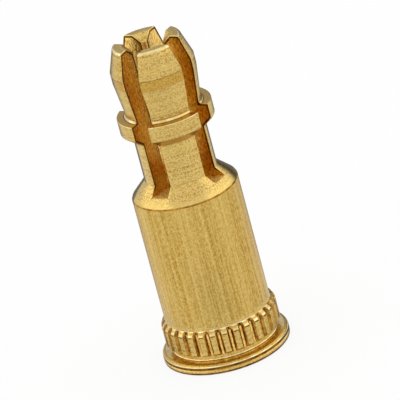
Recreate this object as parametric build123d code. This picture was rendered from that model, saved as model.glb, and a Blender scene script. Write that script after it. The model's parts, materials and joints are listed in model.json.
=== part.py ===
from build123d import *
import os
from math import radians, tan

# Snap-top broaching standoff for circuit boards: one piece, turned from brass bar, knurled and sawn.
# The base of the flange is at the origin and the axis is +Z. Millimetres and degrees.

# Driving dimensions: holes that it fits, and the spacing from the flange's top face to the board seat
base_hole_diameter = 5.41
upper_hole_diameter = 4.00
standoff_length = 12.70

# Driving dimensions: plain body, which slides through the base hole, and its shoulder cone
body_clearance = 0.025
shoulder_angle = 45.0

# Driving dimensions: straight knurl, whose teeth bite into the wall of the base hole
knurl_bite = 0.22
knurl_length = 1.33
knurl_bevel_height = 0.18
knurl_edge_radius = 0.30
knurl_fillet = 0.20
knurl_lower_chamfer = 0.12
groove_count = 30
groove_start_angle = 1.5
groove_depth = 0.20
groove_floor_width = 0.10
groove_mouth_width = 0.34

# Driving dimensions: relief turned between the knurl and the flange, a little into the body
relief_undercut = 0.06
relief_height = 0.31
relief_fillet = 0.09

# Driving dimensions: flange, which stands out past the knurl and bears on the base board
flange_overhang = 0.295
flange_thickness = 0.53
rim_shoulder_radius = 0.19
rim_edge_break = 0.09
rim_line_gap = 0.055
rim_line_width = 0.08
rim_line_depth = 0.04

# Driving dimensions: split neck, and the collar that the upper board sits on
neck_clearance = 0.165
neck_length = 2.24
neck_fillet = 0.12
collar_seat_width = 0.38
collar_height = 0.79
collar_chamfer_height = 0.46
collar_edge_break = 0.05

# Driving dimensions: barbed spring fingers above the seat
finger_base_clearance = 0.115
finger_base_fillet = 0.13
back_taper_length = 1.88
barb_overlap = 0.11
crest_land = 0.54
lead_in_length = 1.23
tip_clearance = 0.30
tip_corner_radius = 0.15

# Driving dimensions: relief bore, and the two crossing saw cuts that free the fingers
bore_diameter = 1.56
bore_mouth_chamfer = 0.40
drill_point_angle = 118.0
slot_width = 0.94
saw_diameter = 24.0
slot_floor_drop = 0.62

# How far a cutting shape runs past the surface that it cuts
cut_overrun = 0.5

# Radii below the shoulder follow the base hole, and those above it the upper hole
base_hole_radius = base_hole_diameter / 2
body_radius = base_hole_radius - body_clearance
knurl_radius = base_hole_radius + knurl_bite
groove_root_radius = knurl_radius - groove_depth
relief_radius = body_radius - relief_undercut
flange_radius = knurl_radius + flange_overhang
upper_hole_radius = upper_hole_diameter / 2
neck_radius = upper_hole_radius - neck_clearance
collar_radius = upper_hole_radius + collar_seat_width
finger_base_radius = upper_hole_radius - finger_base_clearance
crest_radius = upper_hole_radius + barb_overlap
tip_radius = upper_hole_radius - tip_clearance
bore_radius = bore_diameter / 2
saw_radius = saw_diameter / 2

# Levels along the axis: the foot is measured up from the base, the snap top down and up from the board seat
rim_line_top = flange_thickness - rim_shoulder_radius - rim_line_gap
rim_line_bottom = rim_line_top - rim_line_width
knurl_bottom = flange_thickness + relief_height
knurl_top = knurl_bottom + knurl_length
board_seat = flange_thickness + standoff_length
collar_bottom = board_seat - collar_height
neck_top = collar_bottom - collar_chamfer_height
neck_bottom = neck_top - neck_length
body_top = neck_bottom - (body_radius - neck_radius) / tan(radians(shoulder_angle))
crest_bottom = board_seat + back_taper_length
crest_top = crest_bottom + crest_land
tip_level = crest_top + lead_in_length
slot_floor = neck_bottom - slot_floor_drop


def turned_section():
    """Half section of the turned blank, radius across and height up, with its fillets and edge breaks."""
    rim_bottom = (flange_radius, 0)
    rim_top = (flange_radius, flange_thickness)
    relief_foot = (relief_radius, flange_thickness)
    tooth_top = (knurl_radius, knurl_top - knurl_bevel_height)
    body_foot = (body_radius, knurl_top)
    neck_under_collar = (neck_radius, neck_top)
    collar_lower_edge = (collar_radius, collar_bottom)
    collar_upper_edge = (collar_radius, board_seat)
    finger_foot = (finger_base_radius, board_seat)
    tip_corner = (tip_radius, tip_level)
    outline = Polyline(
        (0, 0),
        rim_bottom,
        (flange_radius, rim_line_bottom),
        (flange_radius - rim_line_depth, (rim_line_bottom + rim_line_top) / 2),
        (flange_radius, rim_line_top),
        rim_top,
        relief_foot,
        (relief_radius, knurl_bottom),
        (knurl_radius - knurl_lower_chamfer, knurl_bottom),
        (knurl_radius, knurl_bottom + knurl_lower_chamfer),
        tooth_top,
        body_foot,
        (body_radius, body_top),
        (neck_radius, neck_bottom),
        neck_under_collar,
        collar_lower_edge,
        collar_upper_edge,
        finger_foot,
        (crest_radius, crest_bottom),
        (crest_radius, crest_top),
        tip_corner,
        (0, tip_level),
        close=True,
    )
    rounded_corners = [
        (rim_bottom, rim_edge_break),
        (rim_top, rim_shoulder_radius),
        (relief_foot, relief_fillet),
        (tooth_top, knurl_edge_radius),
        (body_foot, knurl_fillet),
        (neck_under_collar, neck_fillet),
        (collar_lower_edge, collar_edge_break),
        (collar_upper_edge, collar_edge_break),
        (finger_foot, finger_base_fillet),
        (tip_corner, tip_corner_radius),
    ]
    section = make_face(outline)
    for corner, radius in rounded_corners:
        section = fillet(section.vertices().sort_by_distance(corner)[0], radius)
    return section


def knurl_grooves():
    """Straight grooves with sloping flanks, evenly spaced round the knurled band."""
    flank_run_share = (groove_mouth_width - groove_floor_width) / 2 / groove_depth
    floor_half_width = groove_floor_width / 2
    outer_half_width = floor_half_width + flank_run_share * (groove_depth + cut_overrun)
    outer_radius = knurl_radius + cut_overrun
    cut_bottom = knurl_bottom - relief_height / 2
    groove_section = Polyline(
        (groove_root_radius, -floor_half_width),
        (outer_radius, -outer_half_width),
        (outer_radius, outer_half_width),
        (groove_root_radius, floor_half_width),
        close=True,
    )
    groove = extrude(make_face(groove_section), knurl_top - cut_bottom)
    places = PolarLocations(0, groove_count, groove_start_angle)
    return [place * Pos(0, 0, cut_bottom) * groove for place in places]


def relief_bore():
    """Blind drilled bore with a countersunk mouth; it ends in a drill point below the saw cuts' floor."""
    drill_point = bore_radius / tan(radians(drill_point_angle / 2))
    outline = Polyline(
        (0, slot_floor - drill_point),
        (bore_radius, slot_floor),
        (bore_radius, tip_level - bore_mouth_chamfer),
        (bore_radius + bore_mouth_chamfer + cut_overrun, tip_level + cut_overrun),
        (0, tip_level + cut_overrun),
        close=True,
    )
    return revolve(Plane.XZ * make_face(outline), Axis.Z)


def saw_cuts():
    """Two crossing cuts along X and Y, with the dished floors that a round saw leaves."""
    saw = Pos(0, 0, slot_floor + saw_radius) * Rot(90, 0, 0) * Cylinder(saw_radius, slot_width)
    return [saw, Rot(0, 0, 90) * saw]


turned_blank = revolve(Plane.XZ * turned_section(), Axis.Z)
standoff = turned_blank - knurl_grooves() - relief_bore() - saw_cuts()

os.makedirs("parts", exist_ok=True)
export_step(standoff, "parts/standoff.step")
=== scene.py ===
"""Snap-top brass standoff: the finished look of the turned, knurled and sawn part, and its photo stage."""

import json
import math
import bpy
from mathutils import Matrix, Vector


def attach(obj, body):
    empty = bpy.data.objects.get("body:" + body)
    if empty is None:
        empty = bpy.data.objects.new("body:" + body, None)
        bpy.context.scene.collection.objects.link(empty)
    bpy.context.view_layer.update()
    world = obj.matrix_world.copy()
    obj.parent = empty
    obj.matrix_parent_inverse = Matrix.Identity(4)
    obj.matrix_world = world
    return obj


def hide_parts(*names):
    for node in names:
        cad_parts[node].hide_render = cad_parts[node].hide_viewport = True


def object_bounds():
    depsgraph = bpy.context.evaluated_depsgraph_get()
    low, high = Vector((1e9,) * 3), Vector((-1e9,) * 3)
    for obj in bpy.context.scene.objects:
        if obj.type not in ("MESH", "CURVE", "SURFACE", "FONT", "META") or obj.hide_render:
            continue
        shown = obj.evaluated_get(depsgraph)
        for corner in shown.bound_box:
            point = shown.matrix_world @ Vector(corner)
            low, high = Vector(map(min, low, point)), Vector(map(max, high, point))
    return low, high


bl_info = {
    "name": "Snap-top brass standoff",
    "version": (1, 0, 0),
    "blender": (4, 5, 0),
    "location": "View3D > Sidebar > Standoff",
    "description": "Makes the turned, knurled and sawn brass standoff and the stage that it stands on",
    "category": "Object",
}

from types import SimpleNamespace

import bmesh
import bpy
from bpy.props import FloatProperty, FloatVectorProperty, IntProperty, PointerProperty
from mathutils import Matrix, Vector

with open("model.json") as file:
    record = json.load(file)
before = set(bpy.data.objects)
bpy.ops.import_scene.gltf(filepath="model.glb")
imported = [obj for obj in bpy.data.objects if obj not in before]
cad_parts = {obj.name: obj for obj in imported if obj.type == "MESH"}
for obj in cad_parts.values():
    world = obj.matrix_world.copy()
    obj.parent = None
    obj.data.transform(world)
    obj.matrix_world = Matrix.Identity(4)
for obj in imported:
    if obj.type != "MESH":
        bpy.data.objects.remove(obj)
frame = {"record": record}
cad_low, cad_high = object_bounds()
mounts = {mount["name"]: mount for mount in frame["record"]["mounts"]}

MM = 0.001
NODE = "standoff"

# Finishes of the brass, in the order of their numbers on the mesh. Four of them paint light: pale glints
# along edges, and darker bands, brown shade and dark lines of shade
FINISHES = ("turned", "fine_turned", "drawn", "sawn", "floor", "worn", "rubbed", "brown_shade", "tarnished")

# Fingers that the two crossing slots leave
FINGER_COUNT = 4

# Steps of the mesh round a corner, across a finger and across half a slot
CORNER_STEPS = 5
FINGER_STEPS = 48
SLOT_STEPS = 4

# Rounds that find where a slot comes out of the cone, weld distance as a share of the break along sawn
# edges, and angle from which an edge is shaded sharp
MOUTH_ROUNDS = 20
WELD_SHARE = 0.01
SHARP_DEGREES = 30

# Marks in the brass: lengths along X, Y and Z, and depths, in millimetres. Real marks and grain are a few
# hundredths wide, too fine to show in the render, so they are drawn as coarse as they need to show
RING_SPACING = 0.14
RING_DEPTH = 0.004
FINE_RING_DEPTH = 0.0015
SHADED_BAND_RING_DEPTH = 0.002
TURNED_GRAIN = (0.08, 0.08, 0.07)
STREAK = (0.28, 0.28, 33)
STREAK_DEPTH = 0.004
DRAWN_GRAIN = (0.08, 0.08, 0.12)
SAW_MARK = (0.12, 0.12, 0.2)
SAW_MARK_DEPTH = 0.006
WEAR_PATCH = (0.33, 0.33, 0.33)

# Floor, and the parts of it that the brass mirrors darker as painted shade. Each pair gives where a part
# has faded out and where it is full, as a distance from the axis or as the share of a direction that points
# to the camera
FLOOR_REACH = 300 * MM
FLOOR_DROP = 0.01 * MM
PATCH_FRONT_SHARES = (0.76, 0.92)
PATCH_NEAR_EDGE = (6 * MM, 10 * MM)
PATCH_FAR_EDGE = (26 * MM, 20 * MM)
BEHIND_FRONT_SHARES = (-0.70, -0.92)
BESIDE_FRONT_SHARES = (0.6, 0.2)
BESIDE_FAR_EDGE = (8 * MM, 4 * MM)

# Parts of the light tent that the brass mirrors darker or lighter, by pairs of the same kind, as shares
# of a direction that points to the camera, to its right, to either side or up
GAP_FRONT_SHARES = (-0.2, -0.5)
GAP_RIGHT_SHARES = (0.0, 0.2)
GAP_UP_SHARES = (0.26, 0.12)
WALL_FRONT_SHARES = (-0.6, -0.85)
WALL_RIGHT_SHARES = (-0.5, -0.1)
WALL_UP_SHARES = (0.7, 0.4)
WALL_LEFT_SHARE = 0.3
SOFTBOX_SIDE_SHARES = (0.40, 0.65)
SOFTBOX_LOW_SHARES = (0.25, 0.40)
SOFTBOX_HIGH_SHARES = (0.95, 0.80)

# Camera: width of the picture in pixels, width of the sensor in millimetres, and reach of its clipping
PHOTO_PIXELS = 400
SENSOR_WIDTH = 36
CLIP_RATIO = 10

# Sockets that share their names: those of a Mix node, and those of a Compare node for whole numbers
MIX_FACTOR = 0
FIRST_NUMBER = 2
SECOND_NUMBER = 3
FIRST_COLOUR = 6
SECOND_COLOUR = 7
MIXED_NUMBER = 0
MIXED_COLOUR = 2
FIRST_COMPARED = 2
SECOND_COMPARED = 3


def srgb(hex_colour):
    """Linear colour with alpha from an sRGB hex value such as '#C8A95E'."""
    linear = []
    for start in (1, 3, 5):
        level = int(hex_colour[start:start + 2], 16) / 255
        linear.append(level / 12.92 if level <= 0.04045 else ((level + 0.055) / 1.055) ** 2.4)
    return (*linear, 1.0)


def size(name, description, millimetres):
    """A length property, kept in metres, with its default in millimetres."""
    return FloatProperty(
        name=name, description=description, default=millimetres * MM, unit="LENGTH", precision=6
    )


def angle(name, description, degrees):
    """An angle property, kept in radians, with its default in degrees."""
    return FloatProperty(name=name, description=description, default=math.radians(degrees), subtype="ANGLE")


def share(name, description, default):
    """A property that runs from 0 to 1."""
    return FloatProperty(
        name=name, description=description, default=default, subtype="FACTOR", min=0, max=1
    )


def colour(name, description, hex_colour):
    """A colour property with its default as an sRGB hex value."""
    return FloatVectorProperty(
        name=name, description=description, default=srgb(hex_colour), subtype="COLOR", size=4, min=0, max=1
    )


# Settings

class StandoffSizes(bpy.types.PropertyGroup):
    """Sizes of the standoff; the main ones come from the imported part."""

    flange_diameter: size("Flange diameter", "Across the flange", (cad_high.x - cad_low.x) / MM)
    flange_thickness: size(
        "Flange thickness", "Base to the flange's top face", mounts["knurl"]["pos_m"][2] / MM
    )
    rim_shoulder: size("Rim shoulder", "Radius of the rim's upper edge", 0.19)
    rim_line_gap: size("Rim line gap", "Foot of the rim's upper edge to the fine line", 0.055)
    rim_line_width: size("Rim line width", "Width of the fine line turned round the rim", 0.08)
    rim_line_depth: size("Rim line depth", "Depth of the fine line turned round the rim", 0.04)
    rim_break: size("Rim edge break", "Radius of the rim's lower edge", 0.09)
    relief_diameter: size("Relief diameter", "Across the relief under the knurl", 5.24)
    relief_height: size("Relief height", "Flange's top face to the knurl", 0.31)
    relief_fillet: size("Relief fillet", "Radius in the corner of relief and flange", 0.09)
    knurl_diameter: size("Knurl diameter", "Across the tips of the teeth", 5.85)
    knurl_length: size("Knurl length", "Lower end of the teeth to the top of their bevel", 1.33)
    knurl_bevel: size("Knurl bevel", "Height of the bevel on the teeth's upper ends", 0.18)
    knurl_edge: size("Knurl edge", "Radius of the teeth's upper edge", 0.30)
    knurl_fillet: size("Knurl fillet", "Radius in the corner of bevel and body", 0.20)
    knurl_chamfer: size("Knurl lower chamfer", "Chamfer on the teeth's lower ends", 0.12)
    groove_count: IntProperty(name="Grooves", description="Grooves round the knurl", default=30, min=3)
    groove_start: angle("Groove start", "Angle of the first groove from +X", 1.5)
    groove_root_diameter: size("Groove root diameter", "Across the floors of the grooves", 5.45)
    groove_floor: size("Groove floor", "Width of a groove's floor", 0.10)
    groove_mouth: size("Groove mouth", "Width of a groove at the tips of the teeth", 0.34)
    # Painted shade: length of the dark upper end of each groove
    groove_top_shade: size("Groove top shade", "Length of the tarnish at a groove's upper end", 0.12)
    body_diameter: size("Body diameter", "Across the plain body", 2 * mounts["shank"]["dims"]["r_mm"])
    neck_diameter: size("Neck diameter", "Across the slotted neck", 3.67)
    neck_length: size("Neck length", "Top of the shoulder cone to the collar's chamfer", 2.24)
    neck_fillet: size("Neck fillet", "Radius under the collar's chamfer", 0.12)
    collar_diameter: size("Collar diameter", "Across the board seat", 4.76)
    collar_height: size("Collar height", "Height of the collar's band", 0.79)
    collar_chamfer: size("Collar chamfer", "Height of the chamfer under the collar", 0.46)
    collar_break: size("Collar edge break", "Radius of the collar's edges", 0.05)
    board_seat: size("Board seat", "Height of the collar's top face", mounts["board_snap"]["pos_m"][2] / MM)
    finger_base_diameter: size("Finger base diameter", "Across the fingers at the board seat", 3.77)
    finger_base_fillet: size("Finger base fillet", "Radius where the fingers leave the collar", 0.13)
    back_taper: size("Back taper", "Board seat to the barb's crest", 1.88)
    crest_diameter: size("Crest diameter", "Across the barbs", 4.22)
    crest_land: size("Crest land", "Height of the barb's plain band", 0.54)
    tip_diameter: size("Tip diameter", "Across the fingers' tips", 3.40)
    tip_level: size("Tip level", "Overall height", cad_high.z / MM)
    tip_corner: size("Tip corner", "Radius of the tips' outer edge", 0.15)
    bore_diameter: size("Bore diameter", "Across the bore between the fingers", 1.56)
    bore_mouth: size("Bore mouth", "Width of the bore's countersink", 0.40)
    bore_point: angle("Drill point", "Point angle of the drill", 118)
    slot_width: size("Slot width", "Width of the slots between the fingers", 0.94)
    slot_drop: size("Slot drop", "Deepest point of the slots below the top of the shoulder cone", 0.62)
    saw_diameter: size("Saw diameter", "Across the slotting saw", 24.0)
    tooth_wear: size("Tooth wear", "Width of the worn break along the teeth", 0.02)
    # Painted shade: how far the darker band on the fingers lies below the crest
    shaded_band_drop: size("Shaded band drop", "How far the rubbed band lies below the barb's crest", 0.11)
    edge_wear: size("Edge wear", "Width of the break along sawn edges", 0.04)
    # Painted shade: width of the dark line inside the edges of the slots' walls
    edge_shade: size("Edge shade", "Width of the tarnish inside the edges of the slots' walls", 0.09)


class StandoffFinish(bpy.types.PropertyGroup):
    """Colours and gloss of the brass."""

    brass: colour("Brass", "Bare brass, as turned", "#D2AF59")
    brass_light: colour("Light brass", "Brass where the light catches the grain", "#E1C57B")
    brass_dull: colour("Dull brass", "Brass in the marks that the tools leave", "#A87E32")
    brass_cut: colour("Cut brass", "Fresh brass in the slots", "#FFDC80")
    brass_cut_dull: colour("Dull cut brass", "Brass in the saw's marks", "#CE9C44")
    # Painted light: a pale colour for painted glints, and darker colours for painted shade in bands,
    # grooves, corners and lines
    brass_glint: colour("Glint brass", "Brass of the burnished edges", "#F4E4B4")
    brass_band_shade: colour("Shaded band brass", "Brass where boards and tools have rubbed it", "#BC8E3C")
    brass_deep_shade: colour("Deep shade brass", "Brass that no cloth reaches", "#5C3610")
    brass_brown_shade: colour("Brown brass", "Brass where the tarnish is thin", "#8E6024")
    turned_roughness: share("Turned roughness", "Of the collar, fingers and teeth", 0.30)
    fine_turned_roughness: share("Fine-turned roughness", "Of the flange, cone and neck", 0.15)
    drawn_roughness: share("Body roughness", "Of the drawn bar's skin", 0.34)
    sawn_roughness: share("Sawn roughness", "Of the slots' walls and the grooves' floors", 0.2)
    slot_floor_roughness: share("Slot floor roughness", "Of the slots' floors", 0.8)
    # Gloss of the painted glints, of the painted shade bands and flanks, and of the painted shade lines
    worn_roughness: share("Glint roughness", "Of the burnished edges", 0.16)
    rubbed_roughness: share("Shaded band roughness", "Of the rubbed bands and stained flanks", 0.25)
    tarnished_roughness: share("Shade line roughness", "Of the corners and fine lines", 0.45)


class StandoffStage(bpy.types.PropertyGroup):
    """Camera, floor and light."""

    azimuth: angle("Azimuth", "Camera's turn round the part, from -Y", 37.3)
    elevation: angle("Elevation", "Camera's height above the horizon", 23.0)
    roll: angle("Roll", "Lean of the part in the picture", 14.95)
    distance: size("Distance", "Camera to the part", 294)
    aim_height: size("Aim height", "Point on the axis that the framing is measured from", 7.105)
    pixels_per_mm: FloatProperty(
        name="Pixels per mm", description="Scale of the picture at the part", default=20.29
    )
    aim_x: FloatProperty(
        name="Aim column", description="Picture column of the aim point", default=193.4, subtype="PIXEL"
    )
    aim_y: FloatProperty(
        name="Aim row", description="Picture row of the aim point", default=218.25, subtype="PIXEL"
    )
    floor: colour("Floor", "Matt white paper", "#FAFAFA")
    floor_roughness: share("Floor roughness", "Of the paper", 0.9)
    floor_white: share("Floor white", "Share of plain white in the floor", 0.85)
    # Painted shade on the floor, seen only in the brass
    patch: share("Floor patch", "How much darker the floor in front is mirrored", 0.22)
    beside: share("Floor beside", "How much darker the floor at the foot is mirrored", 0.5)
    behind: share("Floor behind", "How much darker the floor behind is mirrored", 0.95)
    gap: share("Gap", "How much darker the gap along the horizon is mirrored", 0.8)
    back_wall: share("Back wall", "How much darker the back wall is mirrored", 0.5)
    softbox: share("Softboxes", "How much lighter the softboxes at both sides are mirrored", 0.4)


def worked_out(sizes):
    """Radii and heights in millimetres, from the sizes."""
    form = SimpleNamespace(groove_count=sizes.groove_count, groove_start=sizes.groove_start)
    for name in (
        "flange", "relief", "knurl", "groove_root", "body", "neck", "collar", "finger_base", "crest", "tip",
        "bore", "saw",
    ):
        setattr(form, name, getattr(sizes, name + "_diameter") / MM / 2)
    for name in (
        "rim_shoulder", "rim_line_gap", "rim_line_width", "rim_line_depth", "rim_break", "relief_fillet",
        "knurl_bevel", "knurl_edge", "knurl_fillet", "knurl_chamfer", "groove_top_shade", "neck_fillet",
        "collar_break", "finger_base_fillet", "tip_level", "tip_corner", "bore_mouth", "tooth_wear",
        "shaded_band_drop", "edge_wear", "edge_shade",
    ):
        setattr(form, name, getattr(sizes, name) / MM)
    form.groove_floor_half = sizes.groove_floor / MM / 2
    form.groove_mouth_half = sizes.groove_mouth / MM / 2
    form.slot_half = sizes.slot_width / MM / 2
    form.flange_top = sizes.flange_thickness / MM
    form.knurl_bottom = form.flange_top + sizes.relief_height / MM
    form.knurl_top = form.knurl_bottom + sizes.knurl_length / MM
    form.body_bottom = form.knurl_top + form.knurl_fillet
    form.seat = sizes.board_seat / MM
    form.collar_bottom = form.seat - sizes.collar_height / MM
    form.neck_top = form.collar_bottom - sizes.collar_chamfer / MM
    form.neck_bottom = form.neck_top - sizes.neck_length / MM
    form.body_top = form.neck_bottom - (form.body - form.neck)
    form.crest_bottom = form.seat + sizes.back_taper / MM
    form.crest_top = form.crest_bottom + sizes.crest_land / MM
    form.slot_bottom = form.neck_bottom - sizes.slot_drop / MM
    form.drill_point = form.slot_bottom - form.bore / math.tan(sizes.bore_point / 2)
    return form


# Outline of the turned blank

def arc_corner(before, corner, after, radius, steps):
    """Points of an arc that rounds one corner of an outline."""
    to_before = (before - corner).normalized()
    to_after = (after - corner).normalized()
    half = to_before.angle(to_after) / 2
    centre = corner + (to_before + to_after).normalized() * (radius / math.sin(half))
    start = corner + to_before * (radius / math.tan(half)) - centre
    sweep = math.pi - 2 * half
    turn = math.copysign(sweep, start.x * (corner - centre).y - start.y * (corner - centre).x)
    points = []
    for step in range(steps + 1):
        part = turn * step / steps
        x = start.x * math.cos(part) - start.y * math.sin(part)
        y = start.x * math.sin(part) + start.y * math.cos(part)
        points.append(centre + Vector((x, y)))
    return points


def rounded(corners):
    """Outline of (radius, height, finish) from corners of (radius, height, rounding, finishes). The
    steps of a rounding take the finishes in turn, and the last one goes on to the next corner."""
    outline = []
    for index, (radius, height, rounding, *finishes) in enumerate(corners):
        corner = Vector((radius, height))
        points = [corner]
        if rounding:
            before = Vector(corners[index - 1][:2])
            after = Vector(corners[index + 1][:2])
            points = arc_corner(before, corner, after, rounding, CORNER_STEPS)
        for step, point in enumerate(points):
            outline.append((point.x, point.y, finishes[min(step, len(finishes) - 1)]))
    return outline


# Meshes, in millimetres until they are joined

class Skin:
    """A mesh under construction: rows of points, skinned to each other, with a finish for each face."""

    def __init__(self):
        self.shape = bmesh.new()
        self.finish = self.shape.faces.layers.int.new("finish")

    def row(self, points):
        return [self.shape.verts.new(point) for point in points]

    def face(self, corners, finish):
        corners = list(dict.fromkeys(corners))
        if len(corners) > 2:
            self.shape.faces.new(corners)[self.finish] = FINISHES.index(finish)

    def between(self, lower, upper, finishes):
        """Faces between two rows, with one finish or one for each step; a row of one point is a pole."""
        last = max(len(lower), len(upper)) - 1
        for step in range(last):
            below = [lower[min(step, len(lower) - 1)], lower[min(step + 1, len(lower) - 1)]]
            above = [upper[min(step + 1, len(upper) - 1)], upper[min(step, len(upper) - 1)]]
            self.face(below + above, finishes if isinstance(finishes, str) else finishes[step])

    def mesh(self, name):
        mesh = bpy.data.meshes.new(name)
        self.shape.to_mesh(mesh)
        self.shape.free()
        return mesh


def on_circle(radius, turn, height):
    return (radius * math.cos(turn), radius * math.sin(turn), height)


# Knurled foot

def groove_columns(form):
    """Points across one groove and half a tooth on each side, as turns round the axis with shares of
    the groove's depth, and the names of the strips between them."""
    worn_share = form.tooth_wear / (form.knurl - form.groove_root)
    flank_run = form.groove_mouth_half - form.groove_floor_half
    flank_half = form.groove_floor_half + flank_run * (1 - worn_share)
    half_pitch = math.pi / form.groove_count
    land = math.asin((form.groove_mouth_half + form.tooth_wear) / form.knurl)
    half_columns = [
        (0, 1),
        (math.asin(form.groove_floor_half / form.groove_root), 1),
        (math.asin(flank_half / (form.knurl - form.tooth_wear)), worn_share),
        (land, 0),
        ((land + half_pitch) / 2, 0),
        (half_pitch, 0),
    ]
    half_strips = ["floor", "flank", "edge", "land", "land"]
    mirrored = [(-turn, depth_share) for turn, depth_share in reversed(half_columns[1:])]
    return mirrored + half_columns, half_strips[::-1] + half_strips


def foot_rows(form):
    """Rows of the flange and the relief. A row is its place on a tooth, its place in a groove, which is
    the same here, the strips that have finishes of their own, and the finish of the others."""
    rim_line = form.flange_top - form.rim_shoulder - form.rim_line_gap - form.rim_line_width / 2
    # Painted shade along the rim's lower edge, over its fine line and in a band on its shoulder; painted
    # glints on the shoulder and in the relief's fillet
    shoulder_finishes = ("tarnished", "worn", "rubbed", "rubbed", "rubbed", "worn")
    fillet_finishes = ("fine_turned", "worn", "worn", "worn", "turned")
    outline = rounded([
        (0, 0, 0, "fine_turned"),
        (form.flange, 0, form.rim_break, "tarnished"),
        (form.flange, form.rim_break + form.edge_wear, 0, "fine_turned"),
        (form.flange, rim_line - form.rim_line_width / 2, 0, "fine_turned"),
        (form.flange - form.rim_line_depth, rim_line, 0, "fine_turned"),
        (form.flange, rim_line + form.rim_line_width / 2, 0, "tarnished"),
        (form.flange, form.flange_top, form.rim_shoulder, *shoulder_finishes),
        (form.relief, form.flange_top, form.relief_fillet, *fillet_finishes),
        (form.relief, form.knurl_bottom, 0, "turned"),
    ])
    return [((radius, height), (radius, height), {}, finish) for radius, height, finish in outline]


def tooth_rows(form):
    """Rows of the teeth and of the fillet over them, up to the plain body."""
    tooth_top = form.knurl_top - form.knurl_bevel
    upper_end = rounded([
        (form.knurl, form.knurl_bottom, 0, "turned"),
        (form.knurl, tooth_top, form.knurl_edge, "turned"),
        # Painted glints in the fillet over the teeth
        (form.body, form.knurl_top, form.knurl_fillet, "turned", "worn", "worn", "turned"),
        (form.body, form.body_bottom, 0, "drawn"),
    ])
    chamfer_foot = form.knurl - form.knurl_chamfer
    chamfer_top = form.knurl_bottom + form.knurl_chamfer
    # Painted shade on the grooves' flanks
    flank_shade = {"flank": "brown_shade", "floor": "sawn"}
    rows = [
        ((chamfer_foot, form.knurl_bottom), (form.groove_root, form.knurl_bottom), flank_shade, "turned"),
        ((form.knurl, chamfer_top), (form.groove_root, chamfer_top), flank_shade, "turned"),
    ]

    # A tooth's rounded upper edge has a painted shade line and a painted glint, and the groove beside it
    # ends in painted shade
    groove_end_shade = {"flank": "brown_shade", "floor": "tarnished"}
    dark_line = {"land": "tarnished", **groove_end_shade}
    glint = {"land": "worn", **groove_end_shade}
    edge_strips = [groove_end_shade, dark_line, glint, glint, groove_end_shade, groove_end_shade]
    bevel_share = (form.groove_root - form.body) / (form.knurl - form.body)
    groove_end = form.knurl_top - form.knurl_bevel * bevel_share
    for step, (radius, height, finish) in enumerate(upper_end[1:]):
        place = (radius, height)
        if radius > form.groove_root:
            floor_height = groove_end - form.groove_top_shade * (CORNER_STEPS - step) / CORNER_STEPS
            strips = edge_strips[min(step, CORNER_STEPS)]
            rows.append((place, (form.groove_root, floor_height), strips, finish))
        else:
            rows.append((place, place, {}, finish))
    return rows


def knurl_sector(form):
    """One groove with half a tooth on each side, from the base up to a plain ring of the body."""
    skin = Skin()
    columns, strips = groove_columns(form)
    before = None
    for land_place, floor_place, strip_finishes, finish in foot_rows(form) + tooth_rows(form):
        land_radius, land_height = land_place
        floor_radius, floor_height = floor_place
        points = []
        for turn, depth_share in columns:
            radius = land_radius + (floor_radius - land_radius) * depth_share
            height = land_height + (floor_height - land_height) * depth_share
            points.append(on_circle(radius, turn, height))
        row = skin.row(points if land_radius else points[:1])
        if before:
            skin.between(before, row, before_finishes)
        before = row
        before_finishes = [strip_finishes.get(strip, finish) for strip in strips]
    return skin.mesh("knurl_sector")


# Slotted fingers

def slot_floor(form, along):
    """Height of a slot's dished floor, at a distance along the slot from the axis."""
    return form.slot_bottom + form.saw - math.sqrt(form.saw ** 2 - along ** 2)


def slot_mouth(form, aside):
    """Place where a slot's floor comes out of the shoulder cone, aside from the slot's middle."""
    along = form.body
    for _ in range(MOUTH_ROUNDS):
        along = math.sqrt((form.body_top + form.body - slot_floor(form, along)) ** 2 - aside ** 2)
    return (along, aside, slot_floor(form, along))


def finger_points(form, radius, height):
    """Points across one finger, from slot to slot, inside the breaks along its edges."""
    start = math.asin((form.slot_half + form.edge_wear) / radius)
    step = (math.pi / 2 - 2 * start) / FINGER_STEPS
    return [on_circle(radius, start + step * index, height) for index in range(FINGER_STEPS + 1)]


def on_wall(form, radius, height):
    """Place on the wall of the slot along X."""
    return (math.sqrt(radius ** 2 - form.slot_half ** 2), form.slot_half, height)


def both_slots(points):
    """The points beside the slot along X, and their mirror images beside the slot along Y."""
    return points, [(y, x, z) for x, y, z in points]


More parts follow.
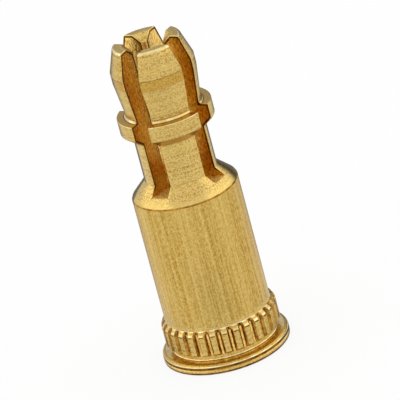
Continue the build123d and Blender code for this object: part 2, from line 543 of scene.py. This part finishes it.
def finger_corners(form, mouth_radius, mouth_height):
    """Corners of a finger's outline, up its outside from the slots, over the tip and down the bore."""
    band_shade_share = form.shaded_band_drop / (form.crest_bottom - form.seat)
    band_shade_radius = form.crest - (form.crest - form.finger_base) * band_shade_share
    band_shade_top = form.crest_top - form.shaded_band_drop
    # Painted shade in the corner at the fingers' foot, then painted glints on its fillet
    foot_finishes = ("tarnished", "worn", "worn", "worn", "turned")
    return [
        (mouth_radius, mouth_height, 0, "fine_turned"),
        (form.neck, form.neck_bottom, 0, "fine_turned"),
        (form.neck, form.neck_top, form.neck_fillet, "turned"),
        (form.collar, form.collar_bottom, form.collar_break, "turned"),
        # Painted glints on the collar's upper edge, and a painted shade band on its top face
        (form.collar, form.seat, form.collar_break, "turned", "worn", "worn", "rubbed"),
        (form.finger_base, form.seat, form.finger_base_fillet, *foot_finishes),
        # Painted shade: a band up to the crest's land, closed by a dark line
        (band_shade_radius, form.crest_bottom - form.shaded_band_drop, 0, "rubbed"),
        (form.crest, form.crest_bottom, 0, "rubbed"),
        (form.crest, band_shade_top, 0, "tarnished"),
        (form.crest, band_shade_top + form.tooth_wear, 0, "turned"),
        (form.crest, form.crest_top, 0, "turned"),
        # Painted glints along the tips' outer edge
        (form.tip, form.tip_level, form.tip_corner, *["worn"] * CORNER_STEPS, "turned"),
        (form.bore + form.bore_mouth, form.tip_level, 0, "turned"),
        (form.bore, form.tip_level - form.bore_mouth, 0, "turned"),
        (form.bore, form.slot_bottom, 0, "turned"),
    ]


def wall_places(form, outline, corners):
    """Places on a slot's wall: inside the edge's break, one for each point of the outline, and inside
    the line of painted shade, one for each corner, repeated for the points that round it."""
    inside_break = []
    for before, here, after in zip(outline, outline[1:], outline[2:]):
        along = (Vector(after[:2]) - Vector(before[:2])).normalized()
        place = on_wall(form, here[0] - form.edge_wear * along.y, here[1] + form.edge_wear * along.x)
        inside_break.append(place)
    inside_shade = []
    for before, here, after in zip(corners, corners[1:], corners[2:]):
        first = (Vector(here[:2]) - Vector(before[:2])).normalized()
        second = (Vector(after[:2]) - Vector(here[:2])).normalized()
        along = first + second
        step = along * 2 * (form.edge_wear + form.edge_shade) / along.length_squared
        place = on_wall(form, here[0] - step.y, here[1] + step.x)
        inside_shade += [place] * (CORNER_STEPS + 1 if here[2] else 1)
    return inside_break, inside_shade


def finger_quadrant(form):
    """One finger and half of the slots beside it, from a ring of the body to the tip and down the bore."""
    skin = Skin()
    asides = [form.slot_half * step / SLOT_STEPS for step in range(SLOT_STEPS + 1)]
    count = len(asides)

    # Body and shoulder cone, up to the slots' mouths
    mouth = [slot_mouth(form, aside) for aside in asides]
    mouth_radius = math.hypot(*mouth[-1][:2])
    mouth_height = mouth[-1][2]
    levels = [
        (form.body, form.body_bottom + form.edge_wear),
        (form.body, form.body_top - form.edge_wear),
        (form.body - form.edge_wear, form.body_top + form.edge_wear),
        (mouth_radius, mouth_height),
    ]
    slot_rows = []
    for radius, height in levels[:-1]:
        slot_rows.append([(math.sqrt(radius ** 2 - aside ** 2), aside, height) for aside in asides])
    slot_rows.append(mouth)
    rings = []
    for points, (radius, height) in zip(slot_rows, levels):
        beside_x, beside_y = both_slots(points)
        rings.append(skin.row(beside_x + finger_points(form, radius, height) + beside_y[::-1]))
    # Painted brown shade along the body's upper edge
    for lower, upper, finish in zip(rings, rings[1:], ("drawn", "brown_shade", "fine_turned")):
        skin.between(lower, upper, finish)

    # Finger: outside, tip and bore
    corners = finger_corners(form, mouth_radius, mouth_height)
    outline = rounded(corners)
    finger = [rings[-1][count:-count]]
    for (radius, height, _), (_, _, finish) in zip(outline[1:], outline):
        finger.append(skin.row(finger_points(form, radius, height)))
        skin.between(finger[-2], finger[-1], finish)

    # Slot floors, and the bore's bottom
    bottom = [(math.sqrt(form.bore ** 2 - aside ** 2), aside, form.slot_bottom) for aside in asides]
    bore_edge = [(along, aside, slot_floor(form, along)) for along, aside, _ in bottom]
    middle = []
    for (outer, aside, _), (inner, _, _) in zip(mouth, bore_edge):
        along = (outer + inner) / 2
        middle.append((along, aside, slot_floor(form, along)))
    floors = [(rings[-1][:count], rings[-1][-count:])]
    for points in (middle, bore_edge, bottom):
        beside_x, beside_y = both_slots(points)
        floors.append((skin.row(beside_x), skin.row(beside_y[::-1])))
        for before, after in zip(floors[-2], floors[-1]):
            skin.between(before, after, "floor")
    drill_point = skin.row([(0, 0, form.drill_point)])
    skin.between(floors[-1][0] + finger[-1] + floors[-1][1], drill_point, "turned")

    # Slot walls, with a break along their edges and a line of painted shade inside it
    inside_break, inside_shade = wall_places(form, outline, corners)
    for side in (0, 1):
        wall = skin.row(both_slots(inside_break)[side])
        places = list(dict.fromkeys(inside_shade))
        corner_row = dict(zip(places, skin.row(both_slots(places)[side])))
        rim = [row[-side] for row in finger]
        mouth_corner, middle_edge, bore_corner, bottom_corner = [floor[side][side - 1] for floor in floors]
        skin.face([mouth_corner, *corner_row.values(), bore_corner, middle_edge], "sawn")
        skin.between(
            [mouth_corner, *[corner_row[place] for place in inside_shade], bore_corner],
            [mouth_corner, *wall, bore_corner],
            "tarnished",
        )
        skin.between([mouth_corner, *wall], rim[:-1], "turned")
        skin.face([wall[-1], bore_corner, bottom_corner, rim[-1], rim[-2]], "turned")
    return skin.mesh("finger_quadrant")


# Node trees

def add_node(tree, kind, sockets=(), **settings):
    """Adds one node with its settings. A socket takes a value, or a link from another node's socket."""
    node = tree.nodes.new(kind)
    for name, value in settings.items():
        setattr(node, name, value)
    for socket, value in dict(sockets).items():
        if isinstance(value, bpy.types.NodeSocket):
            tree.links.new(value, node.inputs[socket])
        else:
            node.inputs[socket].default_value = value
    return node


def round_axis_tree():
    """Geometry Nodes: copies of a sector, turned in equal steps round the axis, welded and finished."""
    tree = bpy.data.node_groups.new("Copies round the axis", "GeometryNodeTree")
    tree.is_modifier = True
    inputs = {
        "Sector": "NodeSocketGeometry",
        "Count": "NodeSocketInt",
        "Start Angle": "NodeSocketFloat",
        "Weld Distance": "NodeSocketFloat",
    }
    inputs.update({finish: "NodeSocketMaterial" for finish in FINISHES})
    for name, kind in inputs.items():
        tree.interface.new_socket(name, in_out="INPUT", socket_type=kind)
    tree.interface.new_socket("Ring", in_out="OUTPUT", socket_type="NodeSocketGeometry")
    given = add_node(tree, "NodeGroupInput").outputs
    points = add_node(tree, "GeometryNodePoints", {"Count": given["Count"]})
    index = add_node(tree, "GeometryNodeInputIndex")
    step = add_node(tree, "ShaderNodeMath", {0: 2 * math.pi, 1: given["Count"]}, operation="DIVIDE")
    turn = add_node(
        tree, "ShaderNodeMath", {0: index.outputs[0], 1: step.outputs[0], 2: given["Start Angle"]},
        operation="MULTIPLY_ADD",
    )
    about_axis = add_node(tree, "ShaderNodeCombineXYZ", {"Z": turn.outputs[0]})
    rotation = add_node(tree, "FunctionNodeEulerToRotation", {0: about_axis.outputs[0]})
    copies = add_node(
        tree, "GeometryNodeInstanceOnPoints",
        {"Points": points.outputs[0], "Instance": given["Sector"], "Rotation": rotation.outputs[0]},
    )
    whole = add_node(tree, "GeometryNodeRealizeInstances", {"Geometry": copies.outputs[0]})
    ring = add_node(
        tree, "GeometryNodeMergeByDistance",
        {"Geometry": whole.outputs[0], "Distance": given["Weld Distance"]},
    )
    finish_number = add_node(tree, "GeometryNodeInputNamedAttribute", {"Name": "finish"}, data_type="INT")
    for number, finish in enumerate(FINISHES):
        chosen = add_node(
            tree, "FunctionNodeCompare",
            {FIRST_COMPARED: finish_number.outputs[0], SECOND_COMPARED: number},
            data_type="INT", operation="EQUAL",
        )
        ring = add_node(
            tree, "GeometryNodeSetMaterial",
            {"Geometry": ring.outputs[0], "Selection": chosen.outputs[0], "Material": given[finish]},
        )
    add_node(tree, "NodeGroupOutput", {0: ring.outputs[0]})
    return tree


def round_axis(sector, tree, values):
    """Runs the tree on a sector and returns the baked mesh of the whole ring."""
    piece = bpy.data.objects.new(sector.name, sector)
    bpy.context.scene.collection.objects.link(piece)
    modifier = piece.modifiers.new("round the axis", "NODES")
    modifier.node_group = tree
    for socket in tree.interface.items_tree:
        if socket.name in values:
            modifier[socket.identifier] = values[socket.name]
    graph = bpy.context.evaluated_depsgraph_get()
    mesh = bpy.data.meshes.new_from_object(
        piece.evaluated_get(graph), preserve_all_data_layers=True, depsgraph=graph
    )
    bpy.data.objects.remove(piece)
    return mesh


def joined(name, meshes):
    """One closed mesh in metres from two open rings, with the gap between them bridged."""
    shape = bmesh.new()
    for mesh in meshes:
        shape.from_mesh(mesh)
    rims = [rim for rim in shape.edges if rim.is_boundary]
    bridge = bmesh.ops.bridge_loops(shape, edges=rims)
    for face in bridge["faces"]:
        face.material_index = FINISHES.index("drawn")
    bmesh.ops.recalc_face_normals(shape, faces=shape.faces)
    open_edges = [rim for rim in shape.edges if not rim.is_manifold]
    if open_edges:
        raise RuntimeError(f"the standoff's mesh has {len(open_edges)} open edges")
    mesh = bpy.data.meshes.new(name)
    shape.to_mesh(mesh)
    shape.free()
    mesh.transform(Matrix.Scale(MM, 4))
    mesh.shade_smooth()
    mesh.set_sharp_from_angle(angle=math.radians(SHARP_DEGREES))
    for slot_material in meshes[0].materials:
        mesh.materials.append(slot_material)
    return mesh


# Brass finishes

def brass_material(name, roughness):
    """Bare brass: a metal with the default IOR. Gives the material, its tree, its shader and the place
    on the part in millimetres."""
    material = bpy.data.materials.new(name)
    material.use_nodes = True
    tree = material.node_tree
    shader = tree.nodes["Principled BSDF"]
    shader.inputs["Metallic"].default_value = 1.0
    shader.inputs["Roughness"].default_value = roughness
    place = add_node(tree, "ShaderNodeTexCoord").outputs["Object"]
    in_mm = add_node(tree, "ShaderNodeVectorMath", {0: place, "Scale": 1 / MM}, operation="SCALE")
    return material, tree, shader, in_mm.outputs[0]


def marks(tree, place, lengths, spread_share, detail, rough_share=0.5):
    """Noise with marks of the given lengths along X, Y and Z. The levels within the spread round the
    middle are stretched to run from 0 to 1."""
    per_mm = [1 / length for length in lengths]
    scaled = add_node(tree, "ShaderNodeVectorMath", {0: place, 1: per_mm}, operation="MULTIPLY")
    noise = add_node(
        tree, "ShaderNodeTexNoise",
        {"Vector": scaled.outputs[0], "Scale": 1.0, "Detail": detail, "Roughness": rough_share},
    )
    level = add_node(
        tree, "ShaderNodeMapRange",
        {"Value": noise.outputs["Fac"], "From Min": 0.5 - spread_share, "From Max": 0.5 + spread_share},
    )
    return level.outputs[0]


def dress(tree, shader, shade, first, second, height=None, depth=0.0):
    """Colours the brass from first to second by a shade from 0 to 1 and, where a height from 0 to 1 is
    given, raises it by a depth in millimetres."""
    mixture = add_node(
        tree, "ShaderNodeMix", {MIX_FACTOR: shade, FIRST_COLOUR: first, SECOND_COLOUR: second},
        data_type="RGBA",
    )
    tree.links.new(mixture.outputs[MIXED_COLOUR], shader.inputs["Base Color"])
    if height:
        raised = add_node(
            tree, "ShaderNodeBump", {"Height": height, "Strength": 1.0, "Distance": depth * MM}
        )
        tree.links.new(raised.outputs[0], shader.inputs["Normal"])


def turned_brass(name, roughness, ring_depth, dull, plain, light):
    """Turned brass: the tool leaves fine rings round the axis, which break the gloss into thin lines."""
    material, tree, shader, place = brass_material(name, roughness)
    flat = add_node(tree, "ShaderNodeVectorMath", {0: place, 1: (1, 1, 0)}, operation="MULTIPLY")
    from_axis = add_node(tree, "ShaderNodeVectorMath", {0: flat.outputs[0]}, operation="LENGTH")
    height = add_node(tree, "ShaderNodeSeparateXYZ", {0: place})
    across = add_node(
        tree, "ShaderNodeCombineXYZ", {"X": from_axis.outputs["Value"], "Y": height.outputs["Z"]}
    )
    rings = marks(tree, across.outputs[0], (RING_SPACING,) * 3, spread_share=0.14, detail=3)
    grain = marks(tree, place, TURNED_GRAIN, spread_share=0.13, detail=3)
    ringed = add_node(
        tree, "ShaderNodeMix", {MIX_FACTOR: rings, FIRST_COLOUR: dull, SECOND_COLOUR: plain},
        data_type="RGBA",
    )
    dress(tree, shader, grain, ringed.outputs[MIXED_COLOUR], light, rings, ring_depth)
    return material


def drawn_brass(name, roughness, dull, plain, light):
    """Drawn brass bar: the die leaves fine streaks along the axis, so the gloss runs in upright bands."""
    material, tree, shader, place = brass_material(name, roughness)
    streaks = marks(tree, place, STREAK, spread_share=0.11, detail=4, rough_share=0.9)
    grain = marks(tree, place, DRAWN_GRAIN, spread_share=0.16, detail=2)
    bands = []
    for first, second in ((dull, plain), (plain, light)):
        band = add_node(
            tree, "ShaderNodeMix", {MIX_FACTOR: grain, FIRST_COLOUR: first, SECOND_COLOUR: second},
            data_type="RGBA",
        )
        bands.append(band.outputs[MIXED_COLOUR])
    dress(tree, shader, streaks, *bands, streaks, STREAK_DEPTH)
    return material


def sawn_brass(name, roughness, dull, plain):
    """Sawn brass: the saw's teeth leave coarse marks, so the cuts look grainy."""
    material, tree, shader, place = brass_material(name, roughness)
    grain = marks(tree, place, SAW_MARK, spread_share=0.13, detail=3, rough_share=0.6)
    dress(tree, shader, grain, dull, plain, grain, SAW_MARK_DEPTH)
    return material


def edge_brass(name, roughness, first, second):
    """Brass along edges and in corners, with painted highlights and painted shade that vary in patches,
    so its lines vary along their length."""
    material, tree, shader, place = brass_material(name, roughness)
    patches = marks(tree, place, WEAR_PATCH, spread_share=0.10, detail=2)
    dress(tree, shader, patches, first, second)
    return material


def brass_finishes(look):
    """The finishes in the order of their names, each with what it gives the eye."""
    bare = (look.brass_dull, look.brass, look.brass_light)
    cut = (look.brass_cut_dull, look.brass_cut)
    rubbed = (look.brass_dull, look.brass_band_shade, look.brass)
    tarnished = (look.brass_deep_shade, look.brass_brown_shade)
    return (
        # Collar, fingers and teeth: a soft gloss in thin lines round the part
        turned_brass("turned brass", look.turned_roughness, RING_DEPTH, *bare),
        # Flange, cone and neck: a clear gloss that mirrors the floor and the room
        turned_brass("fine-turned brass", look.fine_turned_roughness, FINE_RING_DEPTH, *bare),
        # Body: upright streaks in a broad, soft gloss
        drawn_brass("drawn brass bar", look.drawn_roughness, *bare),
        # Slots' walls and grooves' floors: bright, fresh metal with a grain
        sawn_brass("sawn brass", look.sawn_roughness, *cut),
        # Slots' floors: the same grain without the gloss
        sawn_brass("sawn brass floor", look.slot_floor_roughness, *cut),
        # Painted highlights: thin bright glints along edges and fillets
        edge_brass("worn brass edge", look.worn_roughness, look.brass_glint, look.brass_light),
        # Painted shade: bands darker than the faces beside them
        turned_brass("rubbed brass", look.rubbed_roughness, SHADED_BAND_RING_DEPTH, *rubbed),
        # Grooves' flanks and the body's upper edge: thin painted brown shade
        edge_brass("brass with painted brown shade", look.rubbed_roughness, look.brass_brown_shade, look.brass_band_shade),
        # Corners and fine lines: thin, dull, dark brown lines of painted shade
        edge_brass("tarnished brass corner", look.tarnished_roughness, *tarnished),
    )


# Stage

def towards_camera(stage):
    """Level direction from the part to the photograph's camera."""
    return (math.sin(stage.azimuth), -math.cos(stage.azimuth), 0)


def zone(tree, strength, *edges):
    """Strength within a zone with soft edges. Each edge is a value, and where on it the zone has faded
    out and where it is full."""
    for value, (outside, inside) in edges:
        fade = add_node(
            tree, "ShaderNodeMapRange", {"Value": value, "From Min": outside, "From Max": inside},
            interpolation_type="SMOOTHSTEP",
        )
        faded = add_node(tree, "ShaderNodeMath", {0: strength, 1: fade.outputs[0]}, operation="MULTIPLY")
        strength = faded.outputs[0]
    return strength


def make_floor(stage):
    """A wide sheet of matt white paper under the part. Camera and brass see it nearly white, with a
    soft shadow. The brass also mirrors painted shade on it in front, beside the foot and behind, which
    draws the part's outlines."""
    corners = []
    for x, y in ((-1, -1), (1, -1), (1, 1), (-1, 1)):
        corners.append((x * FLOOR_REACH, y * FLOOR_REACH, -FLOOR_DROP))
    mesh = bpy.data.meshes.new("paper_floor")
    mesh.from_pydata(corners, [], [(0, 1, 2, 3)])
    floor = bpy.data.objects.new("paper_floor", mesh)
    bpy.context.scene.collection.objects.link(floor)
    paper = bpy.data.materials.new("matt white paper")
    paper.use_nodes = True
    tree = paper.node_tree
    shader = tree.nodes["Principled BSDF"]
    shader.inputs["Base Color"].default_value = stage.floor
    shader.inputs["Roughness"].default_value = stage.floor_roughness
    path = add_node(tree, "ShaderNodeLightPath").outputs
    place = add_node(tree, "ShaderNodeTexCoord").outputs["Object"]
    distance = add_node(tree, "ShaderNodeVectorMath", {0: place}, operation="LENGTH").outputs["Value"]
    direction = add_node(tree, "ShaderNodeVectorMath", {0: place}, operation="NORMALIZE").outputs[0]
    front = add_node(
        tree, "ShaderNodeVectorMath", {0: direction, 1: towards_camera(stage)}, operation="DOT_PRODUCT"
    ).outputs["Value"]

    # Painted shade, seen only in the brass: the floor is as dark as the darkest zone at that place
    darker = zone(
        tree, stage.patch,
        (front, PATCH_FRONT_SHARES), (distance, PATCH_NEAR_EDGE), (distance, PATCH_FAR_EDGE),
    )
    behind = zone(tree, stage.behind, (front, BEHIND_FRONT_SHARES))
    beside = zone(tree, stage.beside, (front, BESIDE_FRONT_SHARES), (distance, BESIDE_FAR_EDGE))
    for other in (behind, beside):
        darker = add_node(tree, "ShaderNodeMath", {0: darker, 1: other}, operation="MAXIMUM").outputs[0]
    mirrored = add_node(tree, "ShaderNodeMath", {0: darker, 1: path["Is Glossy Ray"]}, operation="MULTIPLY")
    level = add_node(tree, "ShaderNodeMath", {0: 1.0, 1: mirrored.outputs[0]}, operation="SUBTRACT")
    white = add_node(tree, "ShaderNodeEmission", {"Color": srgb("#FFFFFF"), "Strength": level.outputs[0]})

    # Plain white for camera and mirrored rays, mixed with the paper, which keeps the shadow
    seen = path["Is Camera Ray"]
    for ray in ("Is Glossy Ray", "Is Transmission Ray"):
        seen = add_node(tree, "ShaderNodeMath", {0: seen, 1: path[ray]}, operation="MAXIMUM").outputs[0]
    white_share = add_node(tree, "ShaderNodeMath", {0: seen, 1: stage.floor_white}, operation="MULTIPLY")
    surface = add_node(
        tree, "ShaderNodeMixShader", {0: white_share.outputs[0], 1: shader.outputs[0], 2: white.outputs[0]}
    )
    tree.links.new(surface.outputs[0], tree.nodes["Material Output"].inputs["Surface"])
    mesh.materials.append(paper)


def make_world(stage):
    """White light tent all round. What the brass mirrors has a grey back wall, a dark gap along the
    horizon at the back on the right, and softboxes at both sides; the camera itself sees plain white."""
    world = bpy.data.worlds.new("white light tent")
    bpy.context.scene.world = world
    world.use_nodes = True
    tree = world.node_tree
    background = tree.nodes["Background"]
    background.inputs["Color"].default_value = srgb("#FFFFFF")
    direction = add_node(tree, "ShaderNodeTexCoord").outputs["Generated"]
    up = add_node(tree, "ShaderNodeSeparateXYZ", {0: direction}).outputs["Z"]
    towards_right = (math.cos(stage.azimuth), math.sin(stage.azimuth), 0)
    front = add_node(
        tree, "ShaderNodeVectorMath", {0: direction, 1: towards_camera(stage)}, operation="DOT_PRODUCT"
    ).outputs["Value"]
    right = add_node(
        tree, "ShaderNodeVectorMath", {0: direction, 1: towards_right}, operation="DOT_PRODUCT"
    ).outputs["Value"]
    side = add_node(tree, "ShaderNodeMath", {0: right}, operation="ABSOLUTE").outputs[0]

    # The room is darker in the gap and on the back wall, which is lighter towards its left end
    gap = zone(tree, stage.gap, (front, GAP_FRONT_SHARES), (right, GAP_RIGHT_SHARES), (up, GAP_UP_SHARES))
    wall_left, wall_right = WALL_RIGHT_SHARES
    wall_strength = add_node(
        tree, "ShaderNodeMapRange",
        {
            "Value": right,
            "From Min": wall_left,
            "From Max": wall_right,
            "To Min": stage.back_wall * WALL_LEFT_SHARE,
            "To Max": stage.back_wall,
        },
        interpolation_type="SMOOTHSTEP",
    )
    back_wall = zone(tree, wall_strength.outputs[0], (front, WALL_FRONT_SHARES), (up, WALL_UP_SHARES))
    room = 1.0
    for dark in (gap, back_wall):
        rest = add_node(tree, "ShaderNodeMath", {0: 1.0, 1: dark}, operation="SUBTRACT").outputs[0]
        room = add_node(tree, "ShaderNodeMath", {0: room, 1: rest}, operation="MULTIPLY").outputs[0]
    softboxes = zone(
        tree, stage.softbox,
        (side, SOFTBOX_SIDE_SHARES), (up, SOFTBOX_LOW_SHARES), (up, SOFTBOX_HIGH_SHARES),
    )
    tent = add_node(tree, "ShaderNodeMath", {0: room, 1: softboxes}, operation="ADD").outputs[0]
    path = add_node(tree, "ShaderNodeLightPath").outputs
    mirrored = add_node(
        tree, "ShaderNodeMix", {MIX_FACTOR: path["Is Glossy Ray"], FIRST_NUMBER: 1.0, SECOND_NUMBER: tent}
    )
    tree.links.new(mirrored.outputs[MIXED_NUMBER], background.inputs["Strength"])


def make_camera(stage):
    """Long lens at the photograph's angle; the aim point lands where the photograph has it."""
    camera = bpy.data.cameras.new("photo_camera")
    camera.sensor_width = SENSOR_WIDTH
    camera.lens = stage.pixels_per_mm * stage.distance / MM * camera.sensor_width / PHOTO_PIXELS
    camera.clip_start = stage.distance / CLIP_RATIO
    camera.clip_end = stage.distance * CLIP_RATIO
    back = Vector(towards_camera(stage)) * math.cos(stage.elevation)
    back.z = math.sin(stage.elevation)
    level = (-back).to_track_quat("-Z", "Y").to_matrix()
    turned = level @ Matrix.Rotation(-stage.roll, 3, "Z")
    right = turned @ Vector((1, 0, 0))
    up = turned @ Vector((0, 1, 0))
    middle = PHOTO_PIXELS / 2
    pixel = MM / stage.pixels_per_mm
    aim = Vector((0, 0, stage.aim_height))
    aim += right * (middle - stage.aim_x) * pixel + up * (stage.aim_y - middle) * pixel
    holder = bpy.data.objects.new("photo_camera", camera)
    holder.matrix_world = Matrix.Translation(aim + back * stage.distance) @ turned.to_4x4()
    bpy.context.scene.collection.objects.link(holder)
    bpy.context.scene.camera = holder


# Operators and panel

class STANDOFF_OT_standoff(bpy.types.Operator):
    """Makes the knurled foot and the slotted fingers, joins them, and finishes the brass"""

    bl_idname = "standoff.standoff"
    bl_label = "Standoff"

    def execute(self, context):
        form = worked_out(context.scene.standoff_sizes)
        finishes = dict(zip(FINISHES, brass_finishes(context.scene.standoff_finish)))
        shared = {"Weld Distance": form.edge_wear * WELD_SHARE, **finishes}
        grooves = {"Count": form.groove_count, "Start Angle": form.groove_start, **shared}
        quarters = {"Count": FINGER_COUNT, "Start Angle": 0.0, **shared}
        tree = round_axis_tree()
        foot = round_axis(knurl_sector(form), tree, grooves)
        fingers = round_axis(finger_quadrant(form), tree, quarters)
        piece = bpy.data.objects.new("brass_standoff", joined("brass_standoff", (foot, fingers)))
        context.scene.collection.objects.link(piece)
        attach(piece, "root")
        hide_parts(NODE)
        return {"FINISHED"}


class STANDOFF_OT_stage(bpy.types.Operator):
    """Makes the floor, the light and the camera at the photograph's angle"""

    bl_idname = "standoff.stage"
    bl_label = "Stage"

    def execute(self, context):
        stage = context.scene.standoff_stage
        make_floor(stage)
        make_world(stage)
        make_camera(stage)
        context.scene.view_settings.view_transform = "Standard"
        return {"FINISHED"}


class STANDOFF_PT_panel(bpy.types.Panel):
    """Sidebar panel with the settings and the steps"""

    bl_idname = "STANDOFF_PT_panel"
    bl_label = "Standoff"
    bl_space_type = "VIEW_3D"
    bl_region_type = "UI"
    bl_category = "Standoff"

    def draw(self, context):
        for group_name, group in SETTINGS.items():
            column = self.layout.column()
            for name in group.__annotations__:
                column.prop(getattr(context.scene, group_name), name)
        for operator in OPERATORS:
            self.layout.operator(operator.bl_idname)


OPERATORS = (STANDOFF_OT_standoff, STANDOFF_OT_stage)
SETTINGS = {
    "standoff_sizes": StandoffSizes,
    "standoff_finish": StandoffFinish,
    "standoff_stage": StandoffStage,
}
CLASSES = (*SETTINGS.values(), *OPERATORS, STANDOFF_PT_panel)


def register():
    for cls in CLASSES:
        bpy.utils.register_class(cls)
    for name, cls in SETTINGS.items():
        setattr(bpy.types.Scene, name, PointerProperty(type=cls))


def unregister():
    for name in SETTINGS:
        delattr(bpy.types.Scene, name)
    for cls in reversed(CLASSES):
        bpy.utils.unregister_class(cls)


def main():
    register()
    bpy.ops.standoff.standoff()
    bpy.ops.standoff.stage()


if __name__ == "__main__":
    main()
